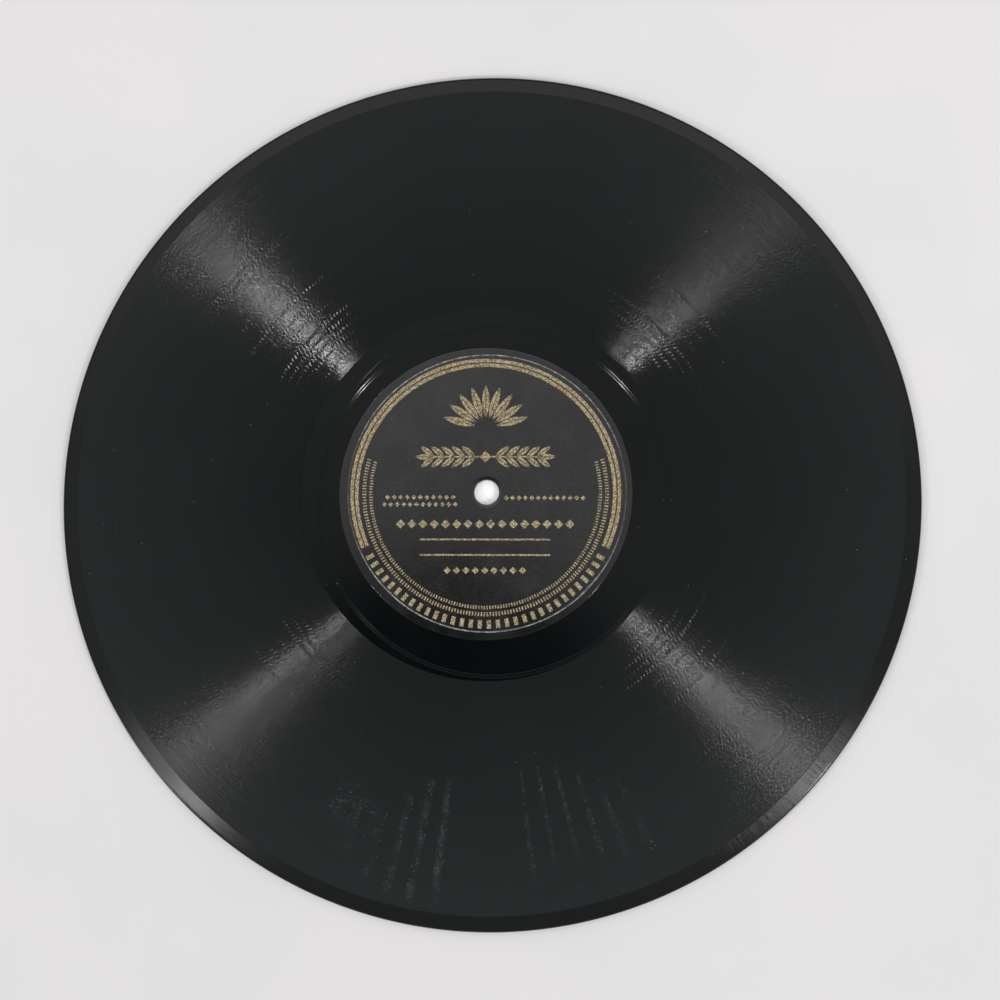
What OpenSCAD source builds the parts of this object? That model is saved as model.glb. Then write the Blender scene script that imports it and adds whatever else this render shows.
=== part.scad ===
// Ten-inch shellac record: a pressed disc with a paper label and its bronze print on each side.
// Millimetres. The origin is on the spindle axis at the underside, and the front side faces +Z.

/* [Disc] */
// Diameter of the disc
disc_d = 250.8; // [174:0.2:305]
// Thickness of the disc over its grooves
disc_t = 2.1; // [1.6:0.1:3]
// Diameter of the spindle hole
hole_d = 7.26; // [7.2:0.01:7.4]
// Width of the plain margin outside the grooves
margin_w = 4.5; // [3:0.1:12]
// Fall of each side of the margin towards the rounded edge
margin_fall = 0.2; // [0.05:0.05:0.4]

/* [Grooves] */
// Width of the smooth run-out land between the paper and the grooves
land_w = 11.9; // [10:0.1:20]
// Spacing of the modelled grooves, each for five recorded turns
groove_pitch = 1.27; // [0.9:0.01:3]
// Width of a groove at the surface
groove_w = 0.3; // [0.2:0.02:0.5]
// Depth of a groove
groove_depth = 0.07; // [0.04:0.01:0.12]

/* [Stop groove] */
// Distance of the eccentric stop groove's centre from the spindle axis
stop_offset = 3.05; // [1:0.05:4]
// Direction of that centre, counterclockwise from +X
stop_angle = 305; // [0:1:360]
// Distance between the stop groove's two parallel lines
stop_gap = 0.75; // [0.5:0.05:1.5]
// Land left between the stop groove and the recorded grooves
stop_clear = 0.3; // [0.2:0.05:1]

/* [Label] */
// Diameter of the paper
label_d = 85.6; // [76:0.2:90]
// Thickness of the paper
label_t = 0.12; // [0.08:0.01:0.2]
// Distance by which the paper was pressed off centre
label_shift = 0.4; // [0:0.05:1]
// Direction of that shift, counterclockwise from +X
label_shift_angle = 190; // [0:1:360]
// Room between the paper's edge and its seat
seat_clear = 0.05; // [0.02:0.01:0.2]
// Distance from the paper's edge to the ring that the press leaves in it
press_ring_inset = 2.3; // [1.5:0.1:3]
// Width of that ring
press_ring_w = 0.4; // [0.2:0.1:1]
// Depth of that ring
press_ring_depth = 0.03; // [0.01:0.01:0.05]

/* [Printed lines] */
// Thickness of the ink
ink_t = 0.02; // [0.01:0.01:0.04]
// Depth of the print's face below the disc's surface
ink_sink = 0.08; // [0.01:0.01:0.2]
// Distance of the double ring from the paper's edge
ring_inset = 3.25; // [2.6:0.05:6]
// Width of the double ring's outer line
outer_line_w = 1; // [0.5:0.1:1.5]
// Gap between the double ring's lines
line_gap = 0.4; // [0.2:0.1:1]
// Width of the double ring's inner line
inner_line_w = 1; // [0.5:0.1:1.5]
// Angle of the double ring's opening, at the foot of the label
ring_opening = 131; // [60:1:160]
// Bars of a full stroboscope ring, for 78 turns a minute under 60 Hz light
bar_count = 92; // [60:1:120]
// Width of a stroboscope bar
bar_w = 1.2; // [0.6:0.1:1.5]
// Fine arcs inside the foot of the double ring
arc_count = 2; // [1:1:3]
// Spacing of the fine arcs
arc_pitch = 1.9; // [1:0.1:2.5]
// Width of a fine arc
arc_w = 0.35; // [0.2:0.05:0.8]
// Angle that the fine arcs cover
arc_sweep = 190; // [90:5:220]
// Lengths of the ruled lines below the hole, from the top
rule_lengths = [52, 38, 38, 24]; // [10:1:54]
// Thickness of a ruled line
rule_w = 0.5; // [0.3:0.1:1]
// Depth of the first ruled line below the spindle axis
rule_y = 9; // [7:0.5:12]
// Spacing of the ruled lines
rule_pitch = 4.5; // [3:0.5:5]

/* [Printed ornament] */
// Leaves of the fan
leaf_count = 9; // [5:2:11]
// Length of a leaf of the fan
fan_leaf_len = 9.5; // [6:0.5:11]
// Width of a leaf of the fan
fan_leaf_w = 2.2; // [1:0.1:2.6]
// Radius at which the fan's leaves begin
fan_r = 3.3; // [2:0.1:4]
// Room between the fan's tip and the double ring
fan_clear = 5.5; // [2:0.5:7]
// Angle from the fan's first leaf to its last
fan_spread = 150; // [90:5:180]
// Length of a sprig, from the middle of the label to its tip
sprig_len = 20.5; // [12:0.5:24]
// Height of the sprigs' stem above the spindle axis
sprig_y = 10.5; // [9:0.5:12]
// Length of a leaf of a sprig
sprig_leaf_len = 5; // [3:0.5:6]
// Width of a leaf of a sprig
sprig_leaf_w = 1.6; // [0.8:0.1:2]
// Spacing of a sprig's leaves along its stem
sprig_pitch = 3; // [2:0.1:4]
// Angle of a leaf to its stem
sprig_angle = 38; // [20:1:60]
// Width of a stem
stem_w = 0.5; // [0.3:0.1:1]
// Side of the lozenge between the sprigs
lozenge_w = 2.4; // [1:0.1:4]

/* [Hidden] */
$fn = 180;
shellac_colour = [0.05, 0.055, 0.06];
paper_colour = [0.17, 0.17, 0.17];
ink_colour = [0.74, 0.64, 0.43];
cut_past = 1;
foot = 270;
disc_r = disc_d / 2;
half_t = disc_t / 2;
hole_r = hole_d / 2;
band_r_in = label_d / 2 + land_w;
band_r_out = disc_r - margin_w;
edge_r = half_t - margin_fall;
edge_x = disc_r - edge_r;
edge_step = 15;
groove_count = floor((band_r_out - band_r_in) / groove_pitch);
stop_r_out = band_r_in - stop_offset - stop_clear - groove_w / 2;
label_sink = ink_t + ink_sink;
seat_depth = label_t + label_sink;
label_centre = label_shift * [cos(label_shift_angle), sin(label_shift_angle), 0];
press_ring_r = label_d / 2 - press_ring_inset;
ring_r_out = label_d / 2 - ring_inset;
ring_r_in = ring_r_out - outer_line_w - line_gap - inner_line_w;
bar_step = 360 / bar_count;
bars_shown = floor(ring_opening / bar_step) - 1;
fan_y = ring_r_in - fan_clear - fan_leaf_len - fan_r;
stem_len = sprig_len - sprig_leaf_len;
sprig_pairs = floor(stem_len / sprig_pitch);

// Upper outline of the disc's section, from the hole to the margin
function upper_outline() = concat(
    [[hole_r, half_t]],
    [for (k = [0 : groove_count - 1]) each groove_points(band_r_in + (k + 0.5) * groove_pitch)],
    [[band_r_out, half_t]]
);

function groove_points(r) = [
    [r - groove_w / 2, half_t],
    [r, half_t - groove_depth],
    [r + groove_w / 2, half_t]
];

// Full-round edge of the section, from the upper side to the lower
function edge_outline() = [for (a = [90 : -edge_step : -90]) [edge_x + edge_r * cos(a), edge_r * sin(a)]];

function mirrored_back(points) = [for (i = [len(points) - 1 : -1 : 0]) [points[i][0], -points[i][1]]];

// Section of the disc about its middle plane
module disc_section() {
    polygon(concat(upper_outline(), edge_outline(), mirrored_back(upper_outline())));
}

// One line of the stop groove, as a cutter in the front surface
module stop_groove(r) {
    translate([stop_offset * cos(stop_angle), stop_offset * sin(stop_angle), disc_t])
        rotate_extrude()
            polygon([[r - groove_w / 2, 0], [r, -groove_depth], [r + groove_w / 2, 0], [r, groove_depth]]);
}

// What is cut from one face of the disc: the paper's seat and the stop groove
module face_cuts() {
    translate(label_centre + [0, 0, disc_t - seat_depth])
        cylinder(r = label_d / 2 + seat_clear, h = seat_depth + cut_past);
    stop_groove(stop_r_out);
    stop_groove(stop_r_out - stop_gap);
}

// Turns what lies on the front side over to the back side
module on_back() {
    translate([0, 0, disc_t]) rotate([0, 180, 0]) children();
}

// The paper of one label, on its seat in the front side
module paper() {
    difference() {
        translate(label_centre + [0, 0, disc_t - seat_depth]) cylinder(d = label_d, h = label_t);
        translate([0, 0, disc_t - seat_depth - cut_past])
            cylinder(r = hole_r, h = label_t + 2 * cut_past);
        translate([0, 0, disc_t - label_sink - press_ring_depth])
            rotate_extrude()
                translate([press_ring_r - press_ring_w / 2, 0]) square([press_ring_w, cut_past]);
    }
}

// A printed arc of the given outer radius and width, centred on one direction
module arc_line(r_out, w, middle, sweep) {
    rotate([0, 0, middle - sweep / 2])
        rotate_extrude(angle = sweep) translate([r_out - w, 0]) square([w, ink_t]);
}

// A pointed leaf that starts at the origin and runs along +X
module leaf(length, w) {
    bow_r = (length * length + w * w) / (4 * w);
    linear_extrude(ink_t)
        intersection() {
            translate([length / 2, bow_r - w / 2]) circle(r = bow_r);
            translate([length / 2, w / 2 - bow_r]) circle(r = bow_r);
        }
}

module double_ring() {
    arc_line(ring_r_out, outer_line_w, foot - 180, 360 - ring_opening);
    arc_line(ring_r_in + inner_line_w, inner_line_w, foot - 180, 360 - ring_opening);
}

module fine_arcs() {
    for (k = [1 : arc_count])
        arc_line(ring_r_in - k * arc_pitch + arc_w, arc_w, foot, arc_sweep);
}

module stroboscope_bars() {
    for (k = [0 : bars_shown - 1])
        rotate([0, 0, foot + (k - (bars_shown - 1) / 2) * bar_step])
            translate([ring_r_in, -bar_w / 2, 0]) cube([ring_r_out - ring_r_in, bar_w, ink_t]);
}

module fan() {
    for (k = [0 : leaf_count - 1])
        translate([0, fan_y, 0])
            rotate([0, 0, 90 + fan_spread * (k / (leaf_count - 1) - 0.5)])
                translate([fan_r, 0, 0]) leaf(fan_leaf_len, fan_leaf_w);
}

// A leafy branch that runs from the middle of the label along +X
module sprig() {
    translate([0, -stem_w / 2, 0]) cube([stem_len + stem_w, stem_w, ink_t]);
    translate([stem_len, 0, 0]) leaf(sprig_leaf_len, sprig_leaf_w);
    for (k = [1 : sprig_pairs], side = [-1, 1])
        translate([k * sprig_pitch, 0, 0])
            rotate([0, 0, side * sprig_angle]) leaf(sprig_leaf_len, sprig_leaf_w);
}

module sprigs() {
    translate([0, sprig_y, 0]) {
        sprig();
        mirror([1, 0, 0]) sprig();
        rotate([0, 0, 45]) translate([-lozenge_w / 2, -lozenge_w / 2, 0]) cube([lozenge_w, lozenge_w, ink_t]);
    }
}

module ruled_lines() {
    for (k = [0 : len(rule_lengths) - 1])
        translate([-rule_lengths[k] / 2, -rule_y - k * rule_pitch - rule_w, 0])
            cube([rule_lengths[k], rule_w, ink_t]);
}

// The print of one label, on the paper of the front side
module label_print() {
    translate(label_centre + [0, 0, disc_t - label_sink]) {
        double_ring();
        fine_arcs();
        stroboscope_bars();
        fan();
        sprigs();
        ruled_lines();
    }
}

module shellac_disc() {
    color(shellac_colour)
        difference() {
            translate([0, 0, half_t]) rotate_extrude() disc_section();
            face_cuts();
            on_back() face_cuts();
        }
}

module front_label() {
    color(paper_colour) paper();
}

module back_label() {
    color(paper_colour) on_back() paper();
}

module front_label_print() {
    color(ink_colour) label_print();
}

module back_label_print() {
    color(ink_colour) on_back() label_print();
}

shellac_disc();
front_label();
back_label();
front_label_print();
back_label_print();
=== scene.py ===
import math

import bmesh
import bpy
import numpy as np
from mathutils import Matrix, Vector


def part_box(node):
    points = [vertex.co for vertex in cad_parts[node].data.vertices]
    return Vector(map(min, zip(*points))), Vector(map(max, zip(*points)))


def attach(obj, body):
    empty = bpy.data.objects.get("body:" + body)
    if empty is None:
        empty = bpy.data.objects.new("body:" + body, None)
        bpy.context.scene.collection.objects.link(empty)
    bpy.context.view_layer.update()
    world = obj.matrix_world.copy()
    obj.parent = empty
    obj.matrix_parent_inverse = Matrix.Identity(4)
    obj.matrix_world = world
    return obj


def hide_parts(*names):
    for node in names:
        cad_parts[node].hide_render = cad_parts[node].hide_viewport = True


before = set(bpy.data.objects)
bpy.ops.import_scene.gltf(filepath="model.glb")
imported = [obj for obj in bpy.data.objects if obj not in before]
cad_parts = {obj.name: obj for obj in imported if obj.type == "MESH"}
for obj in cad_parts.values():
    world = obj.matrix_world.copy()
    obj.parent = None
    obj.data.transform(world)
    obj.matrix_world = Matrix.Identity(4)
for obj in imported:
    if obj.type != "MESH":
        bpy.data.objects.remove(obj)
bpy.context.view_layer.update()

mm = 0.001


# sizes that every piece shares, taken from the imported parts
def nodeSize(node):
    low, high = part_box(node)
    return {"middle": (low + high) / 2, "reach": (high.x - low.x) / 2, "low": low.z, "high": high.z}


discSize = nodeSize("shellac_disc")
paperSize = nodeSize("front_label")
printSize = nodeSize("front_label_print")
thickness = discSize["high"] - discSize["low"]
paperCentre = (paperSize["middle"].x, paperSize["middle"].y)
print("frame loaded: disc", round(discSize["reach"] * 2000, 1), "mm across")


# small helpers for node trees
def feed(tree, socket, value):
    if isinstance(value, bpy.types.NodeSocket):
        tree.links.new(value, socket)
    else:
        socket.default_value = value


def addNode(tree, kind, settings=None, **inputs):
    node = tree.nodes.new(kind)
    for key, value in (settings or {}).items():
        setattr(node, key, value)
    for key, value in inputs.items():
        feed(tree, node.inputs[key.replace("_", " ")], value)
    return node


def calc(tree, operation, *values):
    node = addNode(tree, "ShaderNodeMath", {"operation": operation})
    for place, value in enumerate(values):
        feed(tree, node.inputs[place], value)
    return node.outputs[0]


def vectorCalc(tree, operation, *values):
    node = addNode(tree, "ShaderNodeVectorMath", {"operation": operation})
    for place, value in enumerate(values):
        feed(tree, node.inputs[place], value)
    return node.outputs["Value" if operation in ("LENGTH", "DOT_PRODUCT") else "Vector"]


def scaleVector(tree, vector, scale):
    node = addNode(tree, "ShaderNodeVectorMath", {"operation": "SCALE"}, Scale=scale)
    feed(tree, node.inputs[0], vector)
    return node.outputs["Vector"]


def hold(tree, value, low, high):
    return calc(tree, "MINIMUM", calc(tree, "MAXIMUM", value, low), high)


# a point at a radius and an angle
def roundPoint(tree, radius, angle, height=0.0):
    across = calc(tree, "MULTIPLY", radius, calc(tree, "COSINE", angle))
    along = calc(tree, "MULTIPLY", radius, calc(tree, "SINE", angle))
    return addNode(tree, "ShaderNodeCombineXYZ", X=across, Y=along, Z=height).outputs[0]


def remap(tree, value, fromLow, fromHigh, toLow=0.0, toHigh=1.0, smooth=True):
    kind = "SMOOTHSTEP" if smooth else "LINEAR"
    node = addNode(tree, "ShaderNodeMapRange", {"interpolation_type": kind, "clamp": True}, Value=value)
    for place, limit in enumerate((fromLow, fromHigh, toLow, toHigh)):
        feed(tree, node.inputs[place + 1], limit)
    return node.outputs[0]


def mixColour(tree, share, first, second):
    node = addNode(tree, "ShaderNodeMix", {"data_type": "RGBA"})
    feed(tree, node.inputs[0], share)
    feed(tree, node.inputs[6], first)
    feed(tree, node.inputs[7], second)
    return node.outputs[2]


def mixNumber(tree, share, first, second):
    node = addNode(tree, "ShaderNodeMix", {"data_type": "FLOAT"})
    feed(tree, node.inputs[0], share)
    feed(tree, node.inputs[2], first)
    feed(tree, node.inputs[3], second)
    return node.outputs[0]


# noise keeps mostly between 0.3 and 0.7, so the materials stretch it with remap
def noise(tree, vector, scale, detail=3.0, roughness=0.5):
    node = addNode(tree, "ShaderNodeTexNoise", Scale=scale, Detail=detail, Roughness=roughness)
    feed(tree, node.inputs["Vector"], vector)
    return node.outputs[0]


def lineNoise(tree, place, scale, detail):
    node = addNode(tree, "ShaderNodeTexNoise", {"noise_dimensions": "1D"}, W=place, Scale=scale)
    node.inputs["Detail"].default_value = detail
    return node.outputs[0]


# a new shape tree with named inputs, each with its kind
def startTree(name, sockets):
    tree = bpy.data.node_groups.new(name, "GeometryNodeTree")
    for socket, kind in sockets.items():
        tree.interface.new_socket(name=socket, in_out="INPUT", socket_type="NodeSocket" + kind)
    tree.interface.new_socket(name="Geometry", in_out="OUTPUT", socket_type="NodeSocketGeometry")
    return tree, tree.nodes.new("NodeGroupInput").outputs


# the end of a shape tree: copies made real, and a material
def finishTree(tree, geometry, material):
    realized = addNode(tree, "GeometryNodeRealizeInstances", Geometry=geometry)
    painted = addNode(tree, "GeometryNodeSetMaterial", Geometry=realized.outputs[0], Material=material)
    tree.links.new(painted.outputs[0], tree.nodes.new("NodeGroupOutput").inputs[0])


def rgb(red, green, blue):
    return (red, green, blue, 1.0)


# a new material with the wires that all of them need: object coordinates, radius and direction on the disc
def startMaterial(name):
    material = bpy.data.materials.new(name)
    material.use_nodes = True
    tree = material.node_tree
    shader = tree.nodes["Principled BSDF"]
    place = tree.nodes.new("ShaderNodeTexCoord").outputs["Object"]
    parts = addNode(tree, "ShaderNodeSeparateXYZ", Vector=place)
    flat = addNode(tree, "ShaderNodeCombineXYZ", X=parts.outputs[0], Y=parts.outputs[1]).outputs[0]
    wires = {"place": place, "flat": flat, "away": vectorCalc(tree, "NORMALIZE", flat)}
    wires["angle"] = calc(tree, "ARCTAN2", parts.outputs[1], parts.outputs[0])
    wires["radius"] = calc(tree, "MULTIPLY", vectorCalc(tree, "LENGTH", flat), 1 / mm)
    return material, tree, shader, wires


# a coordinate wrapped round the disc, so many cells to a turn and so many to a millimetre outwards
def roundCoordinate(tree, wires, cellsPerTurn, cellsPerMm):
    turned = scaleVector(tree, wires["away"], cellsPerTurn / math.tau)
    parts = addNode(tree, "ShaderNodeSeparateXYZ", Vector=turned)
    outward = calc(tree, "MULTIPLY", wires["radius"], cellsPerMm)
    both = addNode(tree, "ShaderNodeCombineXYZ", X=parts.outputs[0], Y=parts.outputs[1], Z=outward)
    return both.outputs[0]


def bumpInto(tree, shader, height):
    bump = addNode(tree, "ShaderNodeBump", Height=height, Strength=1.0, Distance=1.0)
    tree.links.new(bump.outputs[0], shader.inputs["Normal"])


# shellac: black compound with dust, painted glints and painted sheen along radial lines near the front,
# hairlines and the sound's own waves in the grooves
shellacLook = {
    "black": rgb(0.0026, 0.0036, 0.0040),
    "greyed": rgb(0.0130, 0.0145, 0.0152),
    # radii in mm between which the grooves go from black to greyed by wear
    "wear": (42.0, 124.0),
    "cloudScale": 28.0,
    "cloudShare": 0.12,
    "specular": 0.45,
    # roughness of the grooves at two radii in mm, its share on walls facing in and out, and its stretch
    "grooveRoughness": (62.0, 121.0, 0.152, 0.266),
    "wallRoughness": (0.86, 1.06),
    "grooveStretch": 1.0,
    "facingBlend": (-0.15, 0.15),
    "landRoughness": 0.06,
    "steepRoughness": 0.06,
    "steepFrom": (0.98, 0.93),
    "marginRoughness": 0.15,
    "marginWidth": 4.6,
    # hairlines: cells to a turn and to a mm, what they multiply in the grooves and what they add on the lands
    "hairCells": (9.0, 3.2),
    "hairTimes": (0.92, 1.12),
    "hairPlus": (-0.02, 0.05),
    # scratches and their patches on the margin: cells to a turn and to a mm, and height in mm
    "scratchCells": (900.0, 0.12),
    "patchCells": (14.0, 0.1),
    "scratchHeight": 0.018,
    # loud passages: radius and half width in mm, waves to a turn, height of the waves in mm
    "loud": [(58.7, 0.8, 316, 0.0055), (62.4, 0.9, 336, 0.0075), (64.9, 0.9, 350, 0.0108),
             (67.3, 0.9, 362, 0.0118), (69.7, 0.9, 375, 0.0176), (73.7, 0.9, 396, 0.0062),
             (77.0, 0.9, 412, 0.0062), (81.1, 0.9, 430, 0.0108), (97.4, 0.9, 515, 0.0076),
             (99.5, 0.8, 525, 0.0062), (111.8, 1.2, 590, 0.0050)],
    # lean of the waves in radians to a mm outwards, and their share in quiet and loud places
    "waveLean": 1.6,
    "waveSway": (0.45, 1.0),
    # share of the waves on the walls that face outwards
    "outwardShare": 0.9,
    # grain of the sound: heights in mm of the quietest and the loudest turns at a radius in mm
    "grain": (0.0135, 0.022),
    "grainRadius": 66.0,
    # power by which it grows outwards, and its cells to a turn and to a mm, and those of the loudness
    "grainGrowth": 2.1,
    "grainCells": (860.0, 2.35),
    "volumeCells": (60.0, 1.2),
    "dustAndGlints": rgb(0.26, 0.28, 0.29),
    "dustAndGlintRoughness": 0.4,
    # specks of dust and painted glints: cells to a metre, where one fades out and in, share of the colour of
    # dust and glints and bend of that share
    "speckScale": 2600.0,
    "speckReach": (0.44, 0.16),
    "glintBright": (0.05, 0.9),
    "glintBend": 2.5,
    # lines of painted glints, pale specks in the colour of dust: direction and half width in degrees, first
    # and last radius in mm, share of specks
    "paintedGlintLines": [(245.2, 2.8, 88, 106, 0.18), (248.5, 2.4, 88, 112, 0.18), (251.8, 2.4, 91, 107, 0.18),
                  (253.0, 0.9, 92, 121, 0.18), (256.3, 1.0, 86, 121, 0.28), (259.6, 1.0, 80, 121, 0.4),
                  (263.0, 0.9, 80, 121, 0.5), (277.3, 0.6, 77, 114, 0.3), (280.8, 0.6, 75, 112, 0.27),
                  (284.4, 0.7, 77, 114, 0.26), (288.0, 0.8, 80, 112, 0.19), (291.5, 0.9, 84, 113, 0.17),
                  (295.0, 1.0, 86, 113, 0.15)],
    # mm in which a line comes and goes
    "glintLineFade": (10.0, 6.0),
    "clumpScale": 260.0,
    "loneShare": 0.0003,
    "glintLineDensity": 2.6,
    "paintedSheen": 0.1,
}


def shellacMaterial(name, grooved):
    look = shellacLook
    material, tree, shader, wires = startMaterial(name)
    radius = wires["radius"]
    cloud = noise(tree, wires["place"], look["cloudScale"], 4.0)
    cloud = remap(tree, cloud, 0.35, 0.7, 0.0, look["cloudShare"])
    worn = remap(tree, radius, *look["wear"], smooth=False) if grooved else 0.0
    colour = mixColour(tree, calc(tree, "ADD", cloud, worn), look["black"], look["greyed"])
    hair = noise(tree, roundCoordinate(tree, wires, *look["hairCells"]), 2.0, 5.0, 0.65)
    cells = addNode(tree, "ShaderNodeTexVoronoi", Scale=look["speckScale"])
    feed(tree, cells.inputs["Vector"], wires["place"])
    lone = addNode(tree, "ShaderNodeTexWhiteNoise")
    feed(tree, lone.inputs["Vector"], cells.outputs["Position"])
    near = remap(tree, cells.outputs["Distance"], *look["speckReach"])
    rare = calc(tree, "GREATER_THAN", lone.outputs["Value"], 1 - look["loneShare"])
    dustAndGlints = calc(tree, "MULTIPLY", near, rare)
    normal = tree.nodes.new("ShaderNodeNewGeometry").outputs["Normal"]
    if grooved:
        # painted glints and painted sheen along radial lines near the front are joined to the dust here
        paintedGlints, paintedSheen = paintedGlintLines(tree, wires, lone)
        dustAndGlints = calc(tree, "MAXIMUM", dustAndGlints, calc(tree, "MULTIPLY", near, paintedGlints))
        dustAndGlints = calc(tree, "MAXIMUM", dustAndGlints, paintedSheen)
        facing = vectorCalc(tree, "DOT_PRODUCT", normal, wires["away"])
        wires["facing"] = remap(tree, facing, *look["facingBlend"])
        height = grooveWaves(tree, wires)
        rough = calc(tree, "MULTIPLY", remap(tree, hair, 0.3, 0.75, *look["hairTimes"]),
                     remap(tree, radius, *look["grooveRoughness"], smooth=False))
        onWall = remap(tree, wires["facing"], 0, 1, *look["wallRoughness"], smooth=False)
        rough = calc(tree, "MULTIPLY", rough, onWall)
        shader.inputs["Anisotropic"].default_value = look["grooveStretch"]
        tree.links.new(wires["away"], shader.inputs["Tangent"])
    else:
        onMargin = calc(tree, "GREATER_THAN", radius, discSize["reach"] / mm - look["marginWidth"])
        height = calc(tree, "MULTIPLY", marginScratches(tree, wires), onMargin)
        step = calc(tree, "MULTIPLY", onMargin, look["marginRoughness"] - look["landRoughness"])
        rough = calc(tree, "ADD", remap(tree, hair, 0.3, 0.75, *look["hairPlus"]), look["landRoughness"])
        rough = calc(tree, "ADD", rough, step)
        flatness = calc(tree, "ABSOLUTE", addNode(tree, "ShaderNodeSeparateXYZ", Vector=normal).outputs[2])
        steep = remap(tree, flatness, *look["steepFrom"], 0.0, look["steepRoughness"])
        rough = calc(tree, "ADD", rough, steep)
    colour = mixColour(tree, dustAndGlints, colour, look["dustAndGlints"])
    tree.links.new(colour, shader.inputs["Base Color"])
    rough = calc(tree, "ADD", rough, calc(tree, "MULTIPLY", dustAndGlints, look["dustAndGlintRoughness"]))
    tree.links.new(rough, shader.inputs["Roughness"])
    shader.inputs["Specular IOR Level"].default_value = look["specular"]
    bumpInto(tree, shader, calc(tree, "MULTIPLY", height, mm))
    return material


# painted glints: pale specks and a painted sheen along fine radial lines, in loose clumps, standing in for
# reflections of lights in the grooves
def paintedGlintLines(tree, wires, lone):
    look = shellacLook
    fadeIn, fadeOut = look["glintLineFade"]
    total = 0.0
    for direction, halfWidth, inner, outer, share in look["paintedGlintLines"]:
        turned = calc(tree, "ADD", wires["angle"], math.radians(360.0 - direction))
        apart = calc(tree, "ABSOLUTE", calc(tree, "WRAP", turned, math.pi, -math.pi))
        line = remap(tree, apart, math.radians(halfWidth), 0.0, 0.0, share)
        inside = calc(tree, "MULTIPLY", remap(tree, wires["radius"], inner, inner + fadeIn),
                      remap(tree, wires["radius"], outer, outer - fadeOut))
        total = calc(tree, "MAXIMUM", total, calc(tree, "MULTIPLY", line, inside))
    clump = remap(tree, noise(tree, wires["place"], look["clumpScale"], 3.0), 0.36, 0.66, 0.15, 1.0)
    total = calc(tree, "MULTIPLY", total, clump)
    chance = calc(tree, "SUBTRACT", 1.0, calc(tree, "MULTIPLY", total, look["glintLineDensity"]))
    shown = calc(tree, "GREATER_THAN", lone.outputs["Value"], chance)
    bright = addNode(tree, "ShaderNodeSeparateColor", Color=lone.outputs["Color"]).outputs[1]
    bright = calc(tree, "POWER", bright, look["glintBend"])
    bright = remap(tree, bright, 0.0, 1.0, *look["glintBright"], smooth=False)
    return calc(tree, "MULTIPLY", shown, bright), calc(tree, "MULTIPLY", total, look["paintedSheen"])


# waves along the grooves: a fine grain everywhere and clear waves in the loud passages, in mm
def grooveWaves(tree, wires):
    look = shellacLook
    grain = noise(tree, roundCoordinate(tree, wires, *look["grainCells"]), 1.0, 1.0)
    volume = noise(tree, roundCoordinate(tree, wires, *look["volumeCells"]), 1.0, 3.0, 0.6)
    total = calc(tree, "MULTIPLY", grain, remap(tree, volume, 0.35, 0.75, *look["grain"]))
    growth = calc(tree, "DIVIDE", wires["radius"], look["grainRadius"])
    growth = calc(tree, "POWER", growth, look["grainGrowth"])
    total = calc(tree, "MULTIPLY", total, growth)
    sway = remap(tree, volume, 0.3, 0.6, *look["waveSway"])
    lean = calc(tree, "MULTIPLY", wires["radius"], look["waveLean"])
    for middle, halfWidth, waves, tall in look["loud"]:
        apart = calc(tree, "ABSOLUTE", calc(tree, "SUBTRACT", wires["radius"], middle))
        inside = calc(tree, "MULTIPLY", remap(tree, apart, halfWidth, 0.0), sway)
        phase = calc(tree, "ADD", calc(tree, "MULTIPLY", wires["angle"], float(waves)), lean)
        wave = calc(tree, "MULTIPLY", calc(tree, "SINE", phase), tall)
        total = calc(tree, "ADD", total, calc(tree, "MULTIPLY", wave, inside))
    onWall = remap(tree, wires["facing"], 0, 1, 1.0, look["outwardShare"], smooth=False)
    return calc(tree, "MULTIPLY", total, onWall)


# scratches across the margin, in mm
def marginScratches(tree, wires):
    look = shellacLook
    fine = noise(tree, roundCoordinate(tree, wires, *look["scratchCells"]), 1.0, 3.0, 0.7)
    patch = noise(tree, roundCoordinate(tree, wires, *look["patchCells"]), 1.0, 2.0)
    scratch = calc(tree, "MULTIPLY", remap(tree, fine, 0.45, 0.8), remap(tree, patch, 0.4, 0.65))
    return calc(tree, "MULTIPLY", scratch, look["scratchHeight"])


# black label paper with fibres, scuffs, a darker pressed border, and a rubbed pale line with a painted
# highlight on the pressed ring
paperLook = {
    "black": rgb(0.0085, 0.0088, 0.0084),
    "scuffed": rgb(0.013, 0.0132, 0.0128),
    "border": rgb(0.0040, 0.0043, 0.0048),
    # rubbed pale line on the pressed ring, which is also a painted highlight
    "rubbedAndHighlight": rgb(0.30, 0.31, 0.32),
    "stain": rgb(0.042, 0.027, 0.009),
    "specular": 0.92,
    "density": 1.7,
    "roughness": (0.10, 0.19),
    "scuffScale": 95.0,
    # radii in mm, and how far their edges fade
    "borderRadius": 40.7,
    "borderFade": 0.3,
    "borderShare": 0.8,
    "paleLineRadius": 40.62,
    "paleLineFade": (0.22, 0.06),
    "paleLineCells": (150.0, 1.0),
    "stainRadius": 38.35,
    "stainFade": (1.5, 1.0),
    # the stain ends where the printed ring opens, given as the sine of the direction
    "stainOpening": (-0.44, -0.40),
    "fibreScale": (900.0, 2600.0, 900.0),
    "fibreLift": (0.5, 1.7),
    "fibreHeight": 0.003,
}


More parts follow.
